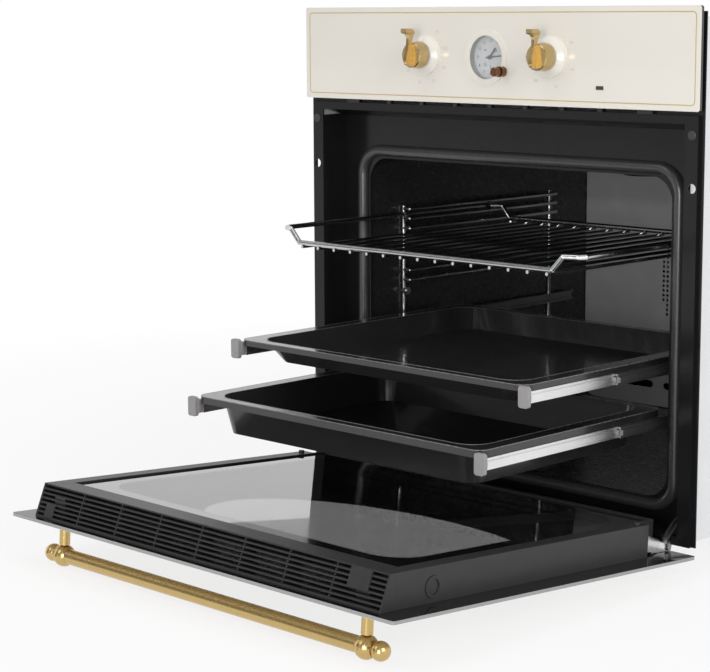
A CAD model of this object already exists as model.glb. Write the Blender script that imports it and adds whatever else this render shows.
import math

import bmesh
import bpy
from mathutils import Matrix, Vector
from mathutils.geometry import tessellate_polygon


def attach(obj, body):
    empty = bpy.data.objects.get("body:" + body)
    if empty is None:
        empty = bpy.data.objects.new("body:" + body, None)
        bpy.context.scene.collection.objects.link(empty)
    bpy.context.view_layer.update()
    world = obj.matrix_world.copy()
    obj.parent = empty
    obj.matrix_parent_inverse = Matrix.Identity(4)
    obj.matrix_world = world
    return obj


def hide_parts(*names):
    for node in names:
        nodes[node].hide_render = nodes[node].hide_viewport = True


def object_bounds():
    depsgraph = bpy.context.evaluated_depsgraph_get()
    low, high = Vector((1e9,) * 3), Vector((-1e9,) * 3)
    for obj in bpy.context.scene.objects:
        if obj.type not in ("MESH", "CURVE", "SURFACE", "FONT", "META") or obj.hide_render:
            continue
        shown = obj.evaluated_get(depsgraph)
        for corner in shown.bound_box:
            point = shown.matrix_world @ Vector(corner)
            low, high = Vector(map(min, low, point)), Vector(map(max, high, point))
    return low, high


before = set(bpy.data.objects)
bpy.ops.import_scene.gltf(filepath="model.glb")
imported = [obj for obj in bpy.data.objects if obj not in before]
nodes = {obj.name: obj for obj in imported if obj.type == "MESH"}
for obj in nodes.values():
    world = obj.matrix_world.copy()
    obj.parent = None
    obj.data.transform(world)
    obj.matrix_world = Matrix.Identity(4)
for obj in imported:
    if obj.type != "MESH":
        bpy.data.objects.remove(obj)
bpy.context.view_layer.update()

# Lengths below are millimetres from the front glass. pt() turns them into
# metres in the row frame, and dpt() does so for the open door, whose parts
# are written in its closed position.
YF = -284.5
HINGE_Y, HINGE_Z, OPEN = 7.5, -5.0, math.radians(86)

# Front
FRONT_W, FRONT_TOP, PANEL_Z0 = 595, 586, 475
DOOR_TOP, DOOR_LOW = 471, -9
KNOB_X, KNOB_Z = 95, 530
CLOCK_Z, DIAL_Y = 528.2, 7.93
GLASS_T, LINE_INSET = 4, 6
PANEL_LINE_W, PANEL_LINE_R = 1.1, 5

# Cavity
CAVITY_W, CAVITY_Z0, CAVITY_Z1, COVER_Y = 472, 34, 404, 490
FAN_Z, GRILL_X, GRILL_Z = 212, 125, 391

# Door
INNER_Y, DOOR_IN_Y = 34, 40
TRIM_Z1, TRIM_BACK = 459.5, 447.3
OVAL_W, OVAL_H, OVAL_Z = 454, 270, 205
DOOR_LINE_W, DOOR_LINE_R, OVAL_LINE_GAP = 1.2, 4, 7.0
# Clear part of the inner glass: half width, low and high edge, corners
INNER_CLEAR = (229, 34, 395, 40)

# How deep a pane's front or back face reaches for the materials
FACE = 0.2

# Trays: front, length, height of the rim's top
TRAY_W = 440
UPPER_TRAY = (-189.8, 396, 198.25)
LOWER_TRAY = (-258.3, 312, 139.95)


def pt(x, y, z):
    return Vector((x, y + YF, z)) * 0.001


def dpt(x, y, z):
    dy, dz = y - HINGE_Y, z - HINGE_Z
    c, s = math.cos(OPEN), math.sin(OPEN)
    return pt(x, HINGE_Y + dy * c - dz * s, HINGE_Z + dy * s + dz * c)


# Camera

cam = bpy.data.cameras.new("camera")
cam.sensor_width = 36
cam.lens = 101.758
cam.clip_end = 50
camera = bpy.data.objects.new("camera", cam)
bpy.context.scene.collection.objects.link(camera)
bpy.context.scene.camera = camera


def aim(az, el, roll, where):
    a, e, r = (math.radians(v) for v in (az, el, roll))
    back = Vector((math.sin(a) * math.cos(e), -math.cos(a) * math.cos(e),
                   math.sin(e)))
    right = Vector((math.cos(a), math.sin(a), 0))
    up = right.cross(-back)
    r2 = math.cos(r) * right + math.sin(r) * up
    u2 = -math.sin(r) * right + math.cos(r) * up
    m = Matrix((r2, u2, back)).transposed().to_4x4()
    m.translation = where
    camera.matrix_world = m


aim(44.773, 9.192, -0.281, pt(1532.32, -1760.68, 581.37))

# Shader helpers


def link(tree, a, b):
    tree.links.new(a, b)


def base_material(name, colour, rough=0.5, metal=0.0, spec=0.5, coat=0.0,
                  coat_rough=0.1, alpha=1.0, ior=1.5):
    m = bpy.data.materials.new(name)
    m.use_nodes = True
    t = m.node_tree
    b = t.nodes["Principled BSDF"]
    b.inputs["Base Color"].default_value = (*colour, 1)
    b.inputs["Roughness"].default_value = rough
    b.inputs["Metallic"].default_value = metal
    b.inputs["Specular IOR Level"].default_value = spec
    b.inputs["Coat Weight"].default_value = coat
    b.inputs["Coat Roughness"].default_value = coat_rough
    b.inputs["Alpha"].default_value = alpha
    b.inputs["IOR"].default_value = ior
    return m, t, b


def coords(t, scale=(1, 1, 1)):
    c = t.nodes.new("ShaderNodeTexCoord")
    mp = t.nodes.new("ShaderNodeMapping")
    mp.inputs["Scale"].default_value = scale
    link(t, c.outputs["Object"], mp.inputs["Vector"])
    return mp.outputs["Vector"]


def noise(t, vec, scale, detail=3.0, rough=0.5):
    n = t.nodes.new("ShaderNodeTexNoise")
    n.inputs["Scale"].default_value = scale
    n.inputs["Detail"].default_value = detail
    n.inputs["Roughness"].default_value = rough
    link(t, vec, n.inputs["Vector"])
    return n.outputs["Fac"]


def spread(t, fac, lo, hi, a=0.3, b=0.7):
    r = t.nodes.new("ShaderNodeMapRange")
    r.inputs["From Min"].default_value = a
    r.inputs["From Max"].default_value = b
    r.inputs["To Min"].default_value = lo
    r.inputs["To Max"].default_value = hi
    link(t, fac, r.inputs["Value"])
    return r.outputs["Result"]


def two_tone(t, fac, c1, c2, a=0.3, b=0.7):
    r = t.nodes.new("ShaderNodeValToRGB")
    r.color_ramp.elements[0].position = a
    r.color_ramp.elements[0].color = (*c1, 1)
    r.color_ramp.elements[1].position = b
    r.color_ramp.elements[1].color = (*c2, 1)
    link(t, fac, r.inputs["Fac"])
    return r.outputs["Color"]


def bump(t, b, fac, strength, distance=0.0002):
    n = t.nodes.new("ShaderNodeBump")
    n.inputs["Strength"].default_value = strength
    n.inputs["Distance"].default_value = distance
    link(t, fac, n.inputs["Height"])
    link(t, n.outputs["Normal"], b.inputs["Normal"])


def calc(t, op, *args):
    """The output of one Math node, whose inputs are numbers or sockets."""
    n = t.nodes.new("ShaderNodeMath")
    n.operation = op
    for i, v in enumerate(args):
        if isinstance(v, (int, float)):
            n.inputs[i].default_value = v
        else:
            link(t, v, n.inputs[i])
    return n.outputs[0]


def mix(t, fac, a, b):
    """Colour a where fac is 0 and b where it is 1."""
    n = t.nodes.new("ShaderNodeMix")
    n.data_type = "RGBA"
    link(t, fac, n.inputs["Factor"])
    for socket, v in ((n.inputs["A"], a), (n.inputs["B"], b)):
        if isinstance(v, tuple):
            socket.default_value = (*v, 1)
        else:
            link(t, v, socket)
    return n.outputs["Result"]


def front_axes(t):
    """x, depth behind the front and height, in millimetres."""
    c = t.nodes.new("ShaderNodeTexCoord")
    s = t.nodes.new("ShaderNodeSeparateXYZ")
    link(t, c.outputs["Object"], s.inputs["Vector"])
    x, y, z = (calc(t, "MULTIPLY", o, 1000) for o in s.outputs)
    return x, calc(t, "SUBTRACT", y, YF), z


def door_axes(t):
    """The same for the open door, in its closed position."""
    x, y, z = front_axes(t)
    c, s = math.cos(OPEN), math.sin(OPEN)
    dy = calc(t, "SUBTRACT", y, HINGE_Y)
    dz = calc(t, "SUBTRACT", z, HINGE_Z)
    yc = calc(t, "ADD", calc(t, "MULTIPLY", dy, c),
              calc(t, "MULTIPLY", dz, s))
    zc = calc(t, "SUBTRACT", calc(t, "MULTIPLY", dz, c),
              calc(t, "MULTIPLY", dy, s))
    return x, calc(t, "ADD", yc, HINGE_Y), calc(t, "ADD", zc, HINGE_Z)


def box_distance(t, x, z, half_w, z0, z1, r):
    """Distance out of a rectangle with round corners, below 0 inside."""
    up = calc(t, "ABSOLUTE", calc(t, "SUBTRACT", z, (z0 + z1) / 2))
    qx = calc(t, "SUBTRACT", calc(t, "ABSOLUTE", x), half_w - r)
    qz = calc(t, "SUBTRACT", up, (z1 - z0) / 2 - r)
    px = calc(t, "MAXIMUM", qx, 0.0)
    pz = calc(t, "MAXIMUM", qz, 0.0)
    ln = calc(t, "SQRT", calc(t, "ADD", calc(t, "MULTIPLY", px, px),
                              calc(t, "MULTIPLY", pz, pz)))
    return calc(t, "SUBTRACT", ln, r)


def oval_distance(t, x, z, w, h, zc):
    """Rough distance out of an oval, below 0 inside."""
    ex = calc(t, "DIVIDE", x, w / 2)
    ez = calc(t, "DIVIDE", calc(t, "SUBTRACT", z, zc), h / 2)
    ln = calc(t, "SQRT", calc(t, "ADD", calc(t, "MULTIPLY", ex, ex),
                              calc(t, "MULTIPLY", ez, ez)))
    return calc(t, "MULTIPLY", calc(t, "SUBTRACT", ln, 1.0), h / 2)


def line_at(t, distance, width):
    """1 on a line of the given width where the distance is 0."""
    return calc(t, "LESS_THAN", calc(t, "ABSOLUTE", distance), width / 2)


# Materials


def surface(name, colour, rough=0.4, metal=0.0, vary=0.06, scale=40,
            rough_vary=0.05, bumps=0.05, grain=None, bump_scale=300, **k):
    """A finish with slight changes of colour, gloss and relief. grain
    stretches the relief along an axis, as brushing does."""
    m, t, b = base_material(name, colour, rough, metal, **k)
    vec = coords(t)
    f = noise(t, vec, scale, 4)
    lo = [max(0.0, c * (1 - vary)) for c in colour]
    hi = [min(1.0, c * (1 + vary)) for c in colour]
    link(t, two_tone(t, f, lo, hi), b.inputs["Base Color"])
    if grain:
        g = noise(t, coords(t, grain), bump_scale, 2, 0.7)
    else:
        g = noise(t, vec, bump_scale, 2)
    link(t, spread(t, g, rough - rough_vary, rough + rough_vary),
         b.inputs["Roughness"])
    if bumps:
        bump(t, b, g, bumps)
    return m


IVORY = (0.755, 0.722, 0.662)
IVORY_DEEP = (0.735, 0.702, 0.635)
GLASS_BLACK = (0.010, 0.010, 0.011)
GLASS_EDGE = (0.30, 0.31, 0.305)
GOLD_INK = (0.56, 0.43, 0.17)

M = {}
M["ivory_trim"] = surface("ivory_trim", (0.77, 0.735, 0.67), 0.22,
                          vary=0.015, bumps=0.02, coat=0.3)
M["black_plastic"] = surface("black_plastic", (0.016, 0.016, 0.017), 0.42,
                             vary=0.15, scale=200, bumps=0.15,
                             bump_scale=1500)
M["black_enamel"] = surface("black_enamel", (0.009, 0.0085, 0.009), 0.2,
                            vary=0.1, scale=12, rough_vary=0.03,
                            bumps=0.02, bump_scale=120, spec=0.26)
M["anthracite"] = surface("anthracite", (0.029, 0.028, 0.028), 0.38,
                          vary=0.08, scale=60, bumps=0.05,
                          bump_scale=900, spec=0.35)
M["cover_enamel"] = surface("cover_enamel", (0.42, 0.41, 0.415), 0.36,
                            vary=0.06, scale=25, bumps=0.04,
                            bump_scale=250)
M["seal"] = surface("seal", (0.034, 0.033, 0.034), 0.30, vary=0.08,
                    scale=90, bumps=0.04, bump_scale=700, coat=0.3,
                    coat_rough=0.12)
M["heater"] = surface("heater", (0.07, 0.065, 0.06), 0.42, 0.7, vary=0.15,
                      scale=30, bumps=0.08, bump_scale=600)
M["zinc"] = surface("zinc", (0.82, 0.83, 0.84), 0.4, 0.4, vary=0.02,
                    scale=14, rough_vary=0.05, bumps=0.02, bump_scale=90)
M["motor"] = surface("motor", (0.42, 0.43, 0.44), 0.4, 0.9, vary=0.08,
                     scale=40, bumps=0.05)
M["wool"] = surface("mineral_wool", (0.55, 0.52, 0.40), 0.95, vary=0.2,
                    scale=60, bumps=0.8, bump_scale=400)
M["chrome_wire"] = surface("chrome_wire", (0.55, 0.56, 0.57), 0.18, 1.0,
                           vary=0.05, scale=30, rough_vary=0.05,
                           bumps=0.03, bump_scale=500)
M["rail_bright"] = surface("rail_bright", (0.82, 0.81, 0.81), 0.3, 1.0,
                           vary=0.04, scale=25, rough_vary=0.06,
                           bumps=0.05, grain=(40, 1, 40), bump_scale=60)
M["rail_dark"] = surface("rail_dark", (0.22, 0.22, 0.23), 0.35, 0.9,
                         vary=0.06, scale=25, bumps=0.05,
                         grain=(40, 1, 40), bump_scale=60)
M["hinge_steel"] = surface("hinge_steel", (0.25, 0.25, 0.26), 0.38, 0.95,
                           vary=0.10, scale=35, bumps=0.06)
M["bright_steel"] = surface("bright_steel", (0.72, 0.72, 0.71), 0.22, 1.0,
                            vary=0.06, scale=60, bumps=0.03)
M["rubber"] = surface("rubber", (0.03, 0.03, 0.03), 0.5, vary=0.2,
                      scale=200, bumps=0.2, bump_scale=900)
M["fan_steel"] = surface("fan_steel", (0.35, 0.36, 0.37), 0.35, 0.9,
                         vary=0.08, scale=50, bumps=0.04)
M["gold"] = surface("gold", (0.60, 0.45, 0.22), 0.25, 1.0, vary=0.04,
                    scale=40, rough_vary=0.04, bumps=0.02,
                    grain=(60, 60, 6), bump_scale=60)
M["brass"] = surface("brushed_brass", (0.60, 0.43, 0.18), 0.27, 1.0,
                     vary=0.03, scale=30, rough_vary=0.04, bumps=0.02,
                     grain=(2, 60, 60), bump_scale=60)
M["copper"] = surface("copper", (0.21, 0.10, 0.05), 0.22, 1.0, vary=0.08,
                      scale=90, bumps=0.03)
M["dial"] = surface("dial", (0.56, 0.58, 0.585), 0.5, vary=0.02, scale=50,
                    bumps=0.02)
M["ink"] = surface("ink", (0.02, 0.02, 0.022), 0.5, vary=0.1, bumps=0.0)
M["faint_ink"] = surface("faint_ink", (0.50, 0.47, 0.42), 0.4, vary=0.05,
                         bumps=0.0)
M["gold_line"] = surface("gold_line", GOLD_INK, 0.35, 0.3,
                         vary=0.06, bumps=0.0)
M["lens"] = surface("lens", (0.035, 0.022, 0.016), 0.2, vary=0.08,
                    scale=200, bumps=0.0, coat=0.5)
M["cap_grey"] = surface("cap_grey", (0.30, 0.29, 0.295), 0.42, vary=0.05,
                        scale=60, bumps=0.08, bump_scale=900)
M["tray"] = surface("tray_enamel", (0.020, 0.019, 0.020), 0.2, vary=0.12,
                    scale=20, rough_vary=0.04, bumps=0.02,
                    bump_scale=120, coat=0.35, coat_rough=0.08)
M["tray_rim"] = surface("tray_rim", (0.24, 0.24, 0.245), 0.28, 0.5,
                        vary=0.08, scale=40, bumps=0.03, bump_scale=200)
M["lamp_glass"] = surface("lamp_glass", (0.80, 0.79, 0.74), 0.2,
                          vary=0.02, bumps=0.05, alpha=0.9)
M["clear"] = surface("clear_glass", (0.95, 0.96, 0.97), 0.05, vary=0.01,
                     rough_vary=0.02, bumps=0.0, alpha=0.10)
M["middle_pane"] = surface("middle_pane", (0.01, 0.01, 0.011), 0.06,
                           vary=0.05, rough_vary=0.02, bumps=0.0,
                           alpha=0.07)


def cavity_material():
    """Black enamel with the fine pale specks of a fired finish."""
    m, t, b = base_material("cavity_enamel", (0.03, 0.03, 0.031), 0.30,
                            coat=0.25, coat_rough=0.12)
    vec = coords(t)
    v = t.nodes.new("ShaderNodeTexVoronoi")
    v.inputs["Scale"].default_value = 420
    link(t, vec, v.inputs["Vector"])
    col = two_tone(t, v.outputs["Distance"], (0.034, 0.034, 0.035),
                   (0.014, 0.0135, 0.014), 0.06, 0.16)
    link(t, col, b.inputs["Base Color"])
    g = noise(t, vec, 160, 2)
    link(t, spread(t, g, 0.24, 0.34), b.inputs["Roughness"])
    bump(t, b, g, 0.05)
    return m


def ivory_colour(t, vec):
    """Ivory glass paint, a shade deeper here and there."""
    return two_tone(t, noise(t, vec, 3.5, 2), IVORY_DEEP, IVORY, 0.35, 0.65)


def panel_material():
    """The control panel's glass: ivory in front, black edges and back."""
    m, t, b = base_material("ivory_glass", IVORY, 0.12, coat=0.5,
                            coat_rough=0.04)
    y = front_axes(t)[1]
    behind = calc(t, "GREATER_THAN", y, FACE)
    link(t, mix(t, behind, ivory_colour(t, coords(t)), GLASS_BLACK),
         b.inputs["Base Color"])
    link(t, spread(t, noise(t, coords(t), 20, 2), 0.10, 0.15),
         b.inputs["Roughness"])
    return m


def outer_pane_material():
    """The door's front glass: ivory with a gold line and an oval window in
    front, clear edges, and black print behind round the same window."""
    m, t, b = base_material("outer_pane", IVORY, 0.12, spec=0.35, coat=0.5,
                            coat_rough=0.04)
    x, y, z = door_axes(t)
    oval = oval_distance(t, x, z, OVAL_W, OVAL_H, OVAL_Z)
    rim = box_distance(t, x, z, FRONT_W / 2 - LINE_INSET,
                       DOOR_LOW + LINE_INSET, DOOR_TOP - LINE_INSET,
                       DOOR_LINE_R)
    ring = calc(t, "SUBTRACT", oval, OVAL_LINE_GAP)
    col = ivory_colour(t, coords(t))
    col = mix(t, line_at(t, rim, DOOR_LINE_W), col, GOLD_INK)
    col = mix(t, line_at(t, ring, DOOR_LINE_W), col, GOLD_INK)
    col = mix(t, calc(t, "GREATER_THAN", y, FACE), col, GLASS_EDGE)
    col = mix(t, calc(t, "GREATER_THAN", y, GLASS_T - FACE), col,
              GLASS_BLACK)
    clear = calc(t, "LESS_THAN", oval, 0.0)
    link(t, mix(t, clear, col, (0.006, 0.006, 0.007)),
         b.inputs["Base Color"])
    link(t, calc(t, "SUBTRACT", 1.0, calc(t, "MULTIPLY", clear, 0.8)),
         b.inputs["Alpha"])
    ahead = calc(t, "LESS_THAN", y, GLASS_T - FACE)
    link(t, calc(t, "MULTIPLY", ahead, 0.5), b.inputs["Coat Weight"])
    link(t, spread(t, noise(t, coords(t), 20, 2), 0.06, 0.12),
         b.inputs["Roughness"])
    return m


def inner_pane_material():
    """The door's inner glass: a black printed border round clear glass."""
    m, t, b = base_material("inner_pane", GLASS_BLACK, 0.05, coat=1.0,
                            coat_rough=0.02, ior=1.75)
    x, y, z = door_axes(t)
    d = box_distance(t, x, z, *INNER_CLEAR)
    clear = spread(t, d, 1.0, 0.0, -1.0, 1.0)
    under = calc(t, "LESS_THAN", y, INNER_Y + GLASS_T / 2)
    through = calc(t, "ADD", calc(t, "MULTIPLY", under, 0.62), 0.28)
    link(t, calc(t, "SUBTRACT", 1.0, calc(t, "MULTIPLY", clear, through)),
         b.inputs["Alpha"])
    link(t, mix(t, clear, (0.007, 0.007, 0.008), (0.012, 0.012, 0.013)),
         b.inputs["Base Color"])
    link(t, calc(t, "ADD", calc(t, "MULTIPLY", clear, 0.35), 0.6),
         b.inputs["Coat Weight"])
    link(t, spread(t, noise(t, coords(t), 20, 2), 0.03, 0.07),
         b.inputs["Roughness"])
    return m


def bezel_material():
    """The clock's ring: ivory in front and dark grey inside its tube."""
    m, t, b = base_material("clock_bezel", IVORY, 0.22, coat=0.3)
    inside = calc(t, "GREATER_THAN", front_axes(t)[1], 0.3)
    front = two_tone(t, noise(t, coords(t), 40, 2), (0.735, 0.70, 0.63),
                     (0.765, 0.73, 0.66))
    link(t, mix(t, inside, front, (0.16, 0.165, 0.15)),
         b.inputs["Base Color"])
    link(t, spread(t, noise(t, coords(t), 300, 2), 0.18, 0.26),
         b.inputs["Roughness"])
    return m


M["cavity"] = cavity_material()
M["ivory"] = panel_material()
M["outer_pane"] = outer_pane_material()
M["inner_pane"] = inner_pane_material()
M["bezel"] = bezel_material()

finish_of = {
    "control_panel": "ivory", "panel_carrier": "black_plastic",
    "air_outlet_grille": "black_plastic", "front_frame": "black_enamel",
    "cavity_liner": "cavity", "door_seal": "seal",
    "fan_cover": "cover_enamel",
    "ring_heater": "heater", "grill_heater": "heater",
    "base_heater": "heater", "fan_motor": "motor", "lamp_housing": "motor",
    "lamp_lens": "lamp_glass", "insulation": "wool", "base_tray": "zinc",
    "side_panels": "zinc", "top_cover": "zinc", "rear_panel": "zinc",
    "blower_housing": "zinc", "selector_switch": "black_plastic",
    "thermostat": "black_plastic", "clock_case": "black_plastic",
    "clock_dial": "dial", "clock_glass": "clear",
    "clock_bezel": "bezel", "indicator_lens": "lens",
    "knob_rings": "ivory_trim", "terminal_block": "black_plastic",
    "side_racks": "chrome_wire", "rack_nuts": "bright_steel",
    "fixed_rails": "rail_dark", "hinge_cases": "hinge_steel",
    "door_bumpers": "rubber", "convection_fan": "fan_steel",
    "blower_wheel": "fan_steel", "selector_knob": "gold",
    "thermostat_knob": "gold", "minute_hand": "ink", "hour_hand": "ink",
    "clock_set_pin": "copper", "upper_mid_rails": "rail_dark",
    "upper_rails": "rail_bright", "upper_rail_caps": "cap_grey",
    "upper_tray": "tray", "lower_mid_rails": "rail_dark",
    "lower_rails": "rail_bright", "lower_rail_caps": "cap_grey",
    "lower_tray": "tray", "wire_rack": "chrome_wire",
    "door_outer_glass": "outer_pane", "door_middle_glass": "middle_pane",
    "door_inner_glass": "inner_pane", "door_side_rails": "anthracite",
    "door_top_trim": "anthracite", "door_bottom_rail": "anthracite",
    "release_button_left": "anthracite",
    "release_button_right": "anthracite", "hinge_arms": "bright_steel",
    "handle_bar": "brass", "handle_mounts": "brass",
}
for name, key in finish_of.items():
    o = nodes[name]
    if not o.material_slots:
        o.data.materials.append(M[key])
    for s in o.material_slots:
        s.material = M[key]

# Mesh helpers


def add_mesh(name, verts, faces, body, key, smooth=False):
    me = bpy.data.meshes.new(name)
    me.from_pydata([tuple(v) for v in verts], [], faces)
    me.validate()
    bm = bmesh.new()
    bm.from_mesh(me)
    bmesh.ops.recalc_face_normals(bm, faces=bm.faces)
    bm.to_mesh(me)
    bm.free()
    o = bpy.data.objects.new(name, me)
    bpy.context.scene.collection.objects.link(o)
    me.materials.append(M[key])
    if smooth:
        for p in me.polygons:
            p.use_smooth = True
    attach(o, body)
    return o


def soften(o, width=0.0006, segments=2, angle=30):
    b = o.modifiers.new("bevel", "BEVEL")
    b.width = width
    b.segments = segments
    b.limit_method = "ANGLE"
    b.angle_limit = math.radians(angle)
    b.harden_normals = False


def round_rect(w, h, r, n=8):
    """Corner-rounded rectangle about the origin, anticlockwise."""
    out = []
    for k, (sx, sz) in enumerate([(1, 1), (-1, 1), (-1, -1), (1, -1)]):
        for i in range(n + 1):
            a = math.radians(90 * (k + i / n))
            out.append((sx * (w / 2 - r) + r * math.cos(a),
                        sz * (h / 2 - r) + r * math.sin(a)))
    return out


def ring_bar(name, points, r, body, key, sides=8):
    """A closed round bar of radius r, in mm, along points in metres."""
    n = len(points)
    verts = []
    faces = []
    for i, p in enumerate(points):
        along = (points[(i + 1) % n] - points[i - 1]).normalized()
        side = along.cross(Vector((0, 0, 1))).normalized()
        up = side.cross(along)
        for k in range(sides):
            q = 2 * math.pi * k / sides
            verts.append(p + (side * math.cos(q) + up * math.sin(q))
                         * r * 0.001)
    for i in range(n):
        j = (i + 1) % n
        for k in range(sides):
            m = (k + 1) % sides
            faces.append((i * sides + k, i * sides + m,
                          j * sides + m, j * sides + k))
    return add_mesh(name, verts, faces, body, key, smooth=True)


def prism(name, outline, x0, x1, body, key, to, bevel):
    """A side outline in y and z, as a bar from x0 to x1. to places it, and
    its edges are softened by bevel."""
    n = len(outline)
    verts = [to(x, y, z) for x in (x0, x1) for y, z in outline]
    faces = [tuple(range(n)), tuple(range(n, 2 * n))]
    for i in range(n):
        j = (i + 1) % n
        faces.append((i, j, n + j, n + i))
    o = add_mesh(name, verts, faces, body, key)
    soften(o, bevel * 0.001)


def frame_line(name, cx, cz, w, h, r, width, y, body, key, thick=0.12):
    """A thin printed line round a rectangle, on the face at y."""
    a = round_rect(w, h, r)
    b = round_rect(w - 2 * width, h - 2 * width, max(r - width, 0.1))
    n = len(a)
    v = []
    for ring, yy in ((a, y), (b, y), (a, y - thick), (b, y - thick)):
        v += [pt(cx + p[0], yy, cz + p[1]) for p in ring]
    f = []
    for i in range(n):
        j = (i + 1) % n
        f.append((2 * n + i, 2 * n + j, 3 * n + j, 3 * n + i))
        f.append((i, j, 2 * n + j, 2 * n + i))
        f.append((n + i, n + j, 3 * n + j, 3 * n + i))
    add_mesh(name, v, f, body, key)


def print_flat(name, shapes, y, body, key, thick=0.06):
    """Flat ink marks on the face at y. shapes are closed outlines in x, z."""
    verts = []
    faces = []
    for ring in shapes:
        s = len(verts)
        n = len(ring)
        verts += [pt(x, y, z) for x, z in ring]
        verts += [pt(x, y - thick, z) for x, z in ring]
        faces.append(tuple(s + n + i for i in range(n)))
        for i in range(n):
            j = (i + 1) % n
            faces.append((s + i, s + j, s + n + j, s + n + i))
    add_mesh(name, verts, faces, body, key)


def stroke(a, b, w):
    """A straight mark from a to b, w wide."""
    d = Vector((b[0] - a[0], b[1] - a[1])).normalized()
    u = Vector((-d.y, d.x)) * w / 2
    return [(a[0] + u.x, a[1] + u.y), (a[0] - u.x, a[1] - u.y),
            (b[0] - u.x, b[1] - u.y), (b[0] + u.x, b[1] + u.y)]


def circle(cx, cz, r, n, a0=0, a1=360):
    """n + 1 points of an arc from a0 to a1 degrees."""
    return [(cx + r * math.cos(math.radians(a0 + (a1 - a0) * i / n)),
             cz + r * math.sin(math.radians(a0 + (a1 - a0) * i / n)))
            for i in range(n + 1)]


def curve_marks(points, w):
    """A bent mark, as short straight strokes along the points."""
    return [stroke(p, q, w) for p, q in zip(points, points[1:])]


def numerals(name, items, y, body, key, thick=0.06):
    """Numbers printed on the face at y, each as text, size, x and z."""
    bm = bmesh.new()
    for text, size, x, z in items:
        c = bpy.data.curves.new("text", "FONT")
        c.body = text
        c.size = size
        c.align_x = "CENTER"
        c.align_y = "CENTER"
        c.extrude = thick / 2
        holder = bpy.data.objects.new("text", c)
        bpy.context.scene.collection.objects.link(holder)
        flat = bpy.data.meshes.new_from_object(holder)
        for v in flat.vertices:
            v.co = pt(x + v.co.x, y - thick / 2 - v.co.z, z + v.co.y)
        bm.from_mesh(flat)
        bpy.data.objects.remove(holder)
        bpy.data.curves.remove(c)
        bpy.data.meshes.remove(flat)
    me = bpy.data.meshes.new(name)
    bm.to_mesh(me)
    bm.free()
    me.materials.append(M[key])
    o = bpy.data.objects.new(name, me)
    bpy.context.scene.collection.objects.link(o)
    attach(o, body)


# Front: printed line, clock and scales

frame_line("panel_line", 0, (FRONT_TOP + PANEL_Z0) / 2,
           FRONT_W - 2 * LINE_INSET, FRONT_TOP - PANEL_Z0 - 2 * LINE_INSET,
           PANEL_LINE_R, PANEL_LINE_W, 0, "oven", "gold_line")


NUMBER_R, TICK_R0, TICK_R1, SIGN_R = 19.2, 23.0, 23.9, 11.5


def around(r, turn, cx=0, cz=CLOCK_Z):
    """Point at radius r and a clockwise turn in degrees from the top."""
    a = math.radians(turn)
    return (cx + r * math.sin(a), cz + r * math.cos(a))


numerals("dial_numbers",
         [(str(h), 5.2, *around(NUMBER_R, 30 * h)) for h in range(1, 13)],
         DIAL_Y, "oven", "ink")
ticks = [stroke(around(TICK_R0, 6 * i), around(TICK_R1, 6 * i),
                0.5 if i % 5 == 0 else 0.22) for i in range(60)]
print_flat("dial_ticks", ticks, DIAL_Y, "oven", "ink")


def dial_signs():
    """Four plain signs of a timer: an arch, a triangle, a dotted ring and
    an hourglass."""
    s = 1.9
    out = []
    x, z = around(SIGN_R, 315)
    out += curve_marks(circle(x, z - 0.6, s, 8, 0, 180), 0.5)
    out.append(stroke((x - s, z - 0.6), (x + s, z - 0.6), 0.5))
    x, z = around(SIGN_R, 45)
    out += curve_marks([(x - s, z - s * 0.8), (x + s, z - s * 0.8),
                        (x, z + s), (x - s, z - s * 0.8)], 0.5)
    x, z = around(SIGN_R, 225)
    out += curve_marks(circle(x, z, s, 12), 0.5)
    out.append(circle(x, z, 0.5, 8)[:-1])
    x, z = around(SIGN_R, 180)
    out += curve_marks([(x - 1.3, z + s), (x + 1.3, z + s),
                        (x - 1.3, z - s), (x + 1.3, z - s),
                        (x - 1.3, z + s)], 0.45)
    return out


print_flat("dial_signs", dial_signs(), DIAL_Y, "oven", "ink")

SCALE_R, SCALE_TICK_R0, SCALE_TICK_R1 = 33, 25.5, 27.5
numerals("heat_scale",
         [(str(50 * (i + 1)), 4.2,
           *around(SCALE_R + 1, 62 + 52 * i, KNOB_X, KNOB_Z))
          for i in range(5)], 0, "oven", "faint_ink")


def programme_signs():
    """Plain signs for the selector: boxes with a bar, a ring or dots."""
    out = []
    for i in range(7):
        x, z = around(SCALE_R, 36 + 40 * i, -KNOB_X, KNOB_Z)
        box = [(x - 2, z - 1.7), (x + 2, z - 1.7), (x + 2, z + 1.7),
               (x - 2, z + 1.7), (x - 2, z - 1.7)]
        out += curve_marks(box, 0.35)
        if i % 3 == 0:
            out.append(stroke((x - 1.3, z + 0.8), (x + 1.3, z + 0.8), 0.4))
        elif i % 3 == 1:
            out.append(stroke((x - 1.3, z - 0.8), (x + 1.3, z - 0.8), 0.4))
        else:
            out += curve_marks(circle(x, z, 0.9, 8), 0.35)
    return out


print_flat("programme_signs", programme_signs(), 0, "oven", "faint_ink")
for s in (-1, 1):
    marks = [stroke(around(SCALE_TICK_R0, a, s * KNOB_X, KNOB_Z),
                    around(SCALE_TICK_R1, a, s * KNOB_X, KNOB_Z), 0.4)
             for a in range(36, 325, 12)]
    print_flat("scale_ticks_" + ("left" if s < 0 else "right"), marks, 0,
               "oven", "faint_ink")

# Fan cover: a plate with small round holes, a row of slots and a skirt

HOLE_PITCH, HOLE_D, FIELD_R, CELLS = 6.6, 4.4, 107, 33
SLOT_W, SLOT_H, SLOT_PITCH, SLOT_UP = 52, 10, 70, 31
GRILL_HOLE_R, SKIRT_Y0, SKIRT_Y1 = 3.8, 1, 25.8


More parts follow.
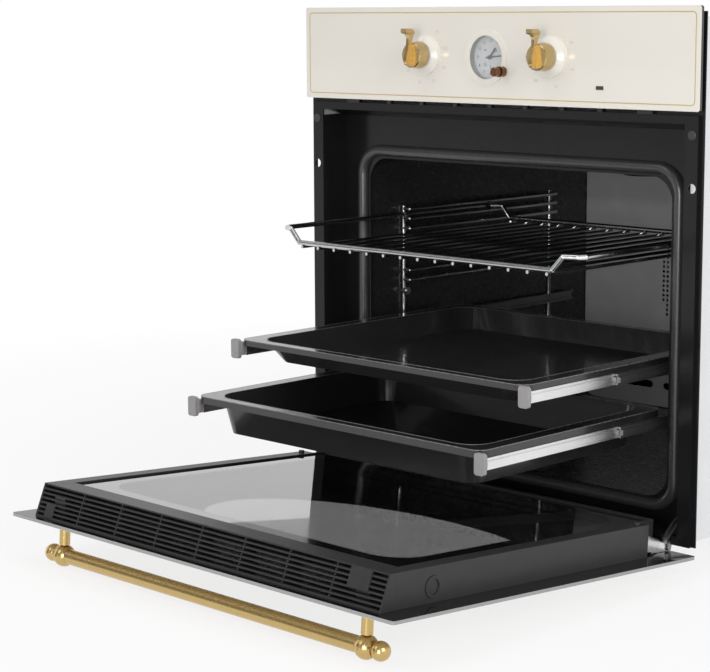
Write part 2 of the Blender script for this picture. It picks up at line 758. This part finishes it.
def fan_cover():
    """The plate is triangles between its outline, its two heater holes, its
    slots and a square field of cells. A cell within FIELD_R has a hole."""
    half = HOLE_PITCH * CELLS / 2
    w, z0, z1 = CAVITY_W - 2, CAVITY_Z0 + 1, CAVITY_Z1 - 1
    zc = (z0 + z1) / 2
    bm = bmesh.new()
    made = {}

    def vert(x, z):
        k = (round(x, 3), round(z, 3))
        if k not in made:
            made[k] = bm.verts.new(pt(x, COVER_Y, z))
        return made[k]

    outer = [(x, z + zc) for x, z in round_rect(w, z1 - z0, 20, 6)]
    rows = []
    for s in (-1, 1):
        rows.append([(s * GRILL_X + p[0], GRILL_Z + p[1])
                     for p in circle(0, 0, GRILL_HOLE_R, 16)[:-1]])
    for i in range(-2, 3):
        rows.append([(i * SLOT_PITCH + p[0], CAVITY_Z0 + SLOT_UP + p[1])
                     for p in round_rect(SLOT_W, SLOT_H, 4.9, 5)])
    rim = []
    for i in range(CELLS):
        rim.append((-half + i * HOLE_PITCH, FAN_Z - half))
    for i in range(CELLS):
        rim.append((half, FAN_Z - half + i * HOLE_PITCH))
    for i in range(CELLS):
        rim.append((half - i * HOLE_PITCH, FAN_Z + half))
    for i in range(CELLS):
        rim.append((-half, FAN_Z + half - i * HOLE_PITCH))
    loops = [outer] + rows + [rim]
    flat = [p for loop in loops for p in loop]
    tris = tessellate_polygon(
        [[Vector((p[0], p[1], 0)) for p in loop] for loop in loops])
    for tri in tris:
        bm.faces.new([vert(*flat[i]) for i in tri])
    for i in range(CELLS):
        for j in range(CELLS):
            x = -half + (i + 0.5) * HOLE_PITCH
            z = FAN_Z - half + (j + 0.5) * HOLE_PITCH
            h = HOLE_PITCH / 2
            box = [(x + h, z + h), (x - h, z + h), (x - h, z - h),
                   (x + h, z - h)]
            if math.hypot(x, z - FAN_Z) > FIELD_R - h:
                bm.faces.new([vert(*p) for p in box])
                continue
            ring = [(x + HOLE_D / 2 * math.cos(math.radians(45 * k + 22.5)),
                     z + HOLE_D / 2 * math.sin(math.radians(45 * k + 22.5)))
                    for k in range(8)]
            for k in range(4):
                q = [ring[2 * k], ring[2 * k + 1]]
                nxt = ring[(2 * k + 2) % 8]
                bm.faces.new([vert(*box[k]), vert(*q[1]), vert(*q[0])])
                bm.faces.new([vert(*box[k]), vert(*box[(k + 1) % 4]),
                              vert(*nxt), vert(*q[1])])
    bmesh.ops.recalc_face_normals(bm, faces=bm.faces)
    back = [(x * 0.97, (z - zc) * 0.962 + zc) for x, z in outer]
    n = len(back)
    for i in range(n):
        j = (i + 1) % n
        a = [pt(back[i][0], COVER_Y + SKIRT_Y0, back[i][1]),
             pt(back[j][0], COVER_Y + SKIRT_Y0, back[j][1]),
             pt(back[j][0], COVER_Y + SKIRT_Y1, back[j][1]),
             pt(back[i][0], COVER_Y + SKIRT_Y1, back[i][1])]
        bm.faces.new([bm.verts.new(p) for p in a])
    bmesh.ops.remove_doubles(bm, verts=bm.verts, dist=1e-6)
    me = bpy.data.meshes.new("fan_cover_plate")
    bm.to_mesh(me)
    bm.free()
    me.materials.append(M["cover_enamel"])
    o = bpy.data.objects.new("fan_cover_plate", me)
    bpy.context.scene.collection.objects.link(o)
    s = o.modifiers.new("sheet", "SOLIDIFY")
    s.thickness = 0.001
    s.offset = -1
    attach(o, "oven")
    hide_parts("fan_cover")


fan_cover()

# Trays: a fine bead along the rim's outer edge and round the basin

BEAD_R = 0.55


def tray_beads(name, tray, body):
    front, length, top = tray
    mid = front + length / 2
    for part, w, h, r, z in (("edge", TRAY_W - 0.6, length - 0.6, 13.7,
                              top - 0.4),
                             ("lip", TRAY_W - 36.6, length - 24.6, 25.7,
                              top - 0.25)):
        loop = [pt(x, mid + y, z) for x, y in round_rect(w, h, r, 8)]
        ring_bar(name + "_" + part, loop, BEAD_R, body, "tray_rim", 6)


tray_beads("upper_bead", UPPER_TRAY, "upper_pan")
tray_beads("lower_bead", LOWER_TRAY, "lower_pan")

# Rail ends: grey plates with round corners, and a neck that holds the rail

PLATE_T, NECK_END, PLATE_R, NECK_R = 4.8, 12, 3, 1.5


def end_plates(name, node, rail, body):
    cap = [v.co * 1000 for v in nodes[node].data.vertices]
    bar = [v.co * 1000 for v in nodes[rail].data.vertices]
    y = min(v.y for v in cap) - YF

    def box(co, dx0, dx1, dz0, dz1):
        """The right-hand piece's box, drawn in on each side."""
        x0, x1 = min(abs(v.x) for v in co), max(abs(v.x) for v in co)
        z0, z1 = min(v.z for v in co), max(v.z for v in co)
        return x0 + dx0, x1 - dx1, z0 + dz0, z1 - dz1

    plate = box(cap, 1.8, 1.2, 1, 1.5)
    neck = box(bar, 0.3, 0.3, 0.3, 0.3)
    verts = []
    faces = []
    for s in (-1, 1):
        start = len(verts)
        for (x0, x1, z0, z1), depth, r in (
                (plate, 0, PLATE_R), (plate, PLATE_T, PLATE_R),
                (neck, PLATE_T, NECK_R), (neck, NECK_END, NECK_R)):
            for x, z in round_rect(x1 - x0, z1 - z0, r, 6):
                verts.append(pt(s * (x0 + x1) / 2 + x, y + depth,
                                (z0 + z1) / 2 + z))
        n = (len(verts) - start) // 4
        faces.append(tuple(start + i for i in range(n)))
        faces.append(tuple(start + 3 * n + i for i in range(n)))
        for k in range(3):
            for i in range(n):
                j = (i + 1) % n
                a = start + k * n
                faces.append((a + i, a + j, a + n + j, a + n + i))
    o = add_mesh(name, verts, faces, body, "cap_grey")
    soften(o, 0.0006, 2, 50)
    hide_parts(node)


end_plates("upper_end_plates", "upper_rail_caps", "upper_rails",
           "upper_runner")
end_plates("lower_end_plates", "lower_rail_caps", "lower_rails",
           "lower_runner")

# Door: a bridge plate and a clip on the cooling fins


def trim_top(y, above):
    """Height above the fins' sloping top at depth y."""
    k = (TRIM_Z1 - TRIM_BACK) / (DOOR_IN_Y - GLASS_T)
    return TRIM_Z1 - (y - GLASS_T) * k + above


def fin_plate(name, x0, x1, y0, y1, h):
    prism(name, [(y0, trim_top(y0, -2)), (y0, trim_top(y0, h)),
                 (y1, trim_top(y1, h)), (y1, trim_top(y1, -2))],
          x0, x1, "door", "anthracite", dpt, 0.4)


fin_plate("fin_bridge", 219, 247, 20, 39.2, 1.2)
fin_plate("fin_clip", -255, -240, 5, 20, 0.5)

# Stage

FLOOR_SIZE, FLOOR_GAP = 30, 0.002
floor_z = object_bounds()[0][2] - FLOOR_GAP


def plane(name, size, z):
    me = bpy.data.meshes.new(name)
    s = size / 2
    me.from_pydata([(-s, -s, z), (s, -s, z), (s, s, z), (-s, s, z)], [],
                   [(0, 1, 2, 3)])
    o = bpy.data.objects.new(name, me)
    bpy.context.scene.collection.objects.link(o)
    return o


def seen_plainly(t, glossy=True):
    """1 for rays of the camera, of mirrors and of glass."""
    lp = t.nodes.new("ShaderNodeLightPath")
    out = calc(t, "MAXIMUM", lp.outputs["Is Camera Ray"],
               lp.outputs["Is Transmission Ray"])
    if glossy:
        out = calc(t, "MAXIMUM", out, lp.outputs["Is Glossy Ray"])
    return out


def stage_material():
    """White to the eye, with a faint shadow near the object."""
    m = bpy.data.materials.new("stage")
    m.use_nodes = True
    t = m.node_tree
    t.nodes.clear()
    out = t.nodes.new("ShaderNodeOutputMaterial")
    dif = t.nodes.new("ShaderNodeBsdfDiffuse")
    dif.inputs["Color"].default_value = (0.82, 0.82, 0.82, 1)
    em = t.nodes.new("ShaderNodeEmission")
    em.inputs["Strength"].default_value = 1.0
    geo = t.nodes.new("ShaderNodeNewGeometry")
    ln = t.nodes.new("ShaderNodeVectorMath")
    ln.operation = "LENGTH"
    link(t, geo.outputs["Position"], ln.inputs[0])
    near = spread(t, ln.outputs["Value"], 0.80, 1.0, 0.7, 1.6)
    mx = t.nodes.new("ShaderNodeMixShader")
    link(t, calc(t, "MULTIPLY", seen_plainly(t), near), mx.inputs[0])
    link(t, dif.outputs[0], mx.inputs[1])
    link(t, em.outputs[0], mx.inputs[2])
    link(t, mx.outputs[0], out.inputs["Surface"])
    return m


floor = plane("floor", FLOOR_SIZE, floor_z)
floor.data.materials.append(stage_material())

world = bpy.data.worlds.new("world")
bpy.context.scene.world = world
world.use_nodes = True
wt = world.node_tree
bg = wt.nodes["Background"]
bg.inputs["Color"].default_value = (1, 1, 1, 1)
lp = wt.nodes.new("ShaderNodeLightPath")
tc = wt.nodes.new("ShaderNodeTexCoord")
sep = wt.nodes.new("ShaderNodeSeparateXYZ")
link(wt, tc.outputs["Generated"], sep.inputs["Vector"])
mirror = spread(wt, sep.outputs["Z"], 1.0, 0.25, 0.25, 0.75)
turn = calc(wt, "ARCTAN2", sep.outputs["X"], calc(
    wt, "MULTIPLY", sep.outputs["Y"], -1.0))
# What mirrors see in front: a dim room with upright strips of light, each as
# its direction and half width in radians and its strength
ROOM = 0.22
STRIPS = ((-1.25, 0.12, 1.6), (-0.35, 0.05, 1.4), (0.45, 0.08, 1.2),
          (1.15, 0.10, 1.2))
strips = ROOM
for at, half, light in STRIPS:
    off = calc(wt, "ABSOLUTE", calc(wt, "SUBTRACT", turn, at))
    strips = calc(wt, "ADD", strips, calc(
        wt, "MULTIPLY", calc(wt, "LESS_THAN", off, half), light))
front = spread(wt, sep.outputs["Y"], 1.0, 0.0, -0.12, 0.0)
mirror = calc(wt, "ADD", calc(wt, "MULTIPLY", mirror, calc(
    wt, "SUBTRACT", 1.0, front)), calc(wt, "MULTIPLY", strips, front))
soft = spread(wt, sep.outputs["Z"], 0.42, 0.62, -0.2, 1.0)
plain = seen_plainly(wt, glossy=False)
other = calc(wt, "ADD",
             calc(wt, "MULTIPLY", lp.outputs["Is Glossy Ray"], mirror),
             calc(wt, "MULTIPLY",
                  calc(wt, "SUBTRACT", 1.0, lp.outputs["Is Glossy Ray"]),
                  soft))
link(wt, calc(wt, "MAXIMUM", plain, other), bg.inputs["Strength"])


def lamp(name, where, at, size, power):
    """A square lamp of the given size, turned to the point at."""
    d = bpy.data.lights.new(name, "AREA")
    d.shape = "RECTANGLE"
    d.size = size
    d.size_y = size
    d.energy = power
    o = bpy.data.objects.new(name, d)
    bpy.context.scene.collection.objects.link(o)
    o.location = where
    o.rotation_euler = (Vector(at) - Vector(where)).to_track_quat(
        "-Z", "Y").to_euler()


lamp("key", (-1.2, -3.0, 2.2), (0, -0.4, 0.3), 1.6, 10)
lamp("low", (1.3, -3.2, 0.5), (-0.15, 0.1, 0.25), 1.0, 31)
lamp("side", (2.8, -1.2, 1.4), (0, -0.2, 0.3), 1.4, 30)
lamp("top", (0.0, -0.6, 3.0), (0, -0.3, 0.3), 1.8, 16)

bpy.context.scene.view_settings.view_transform = "Standard"
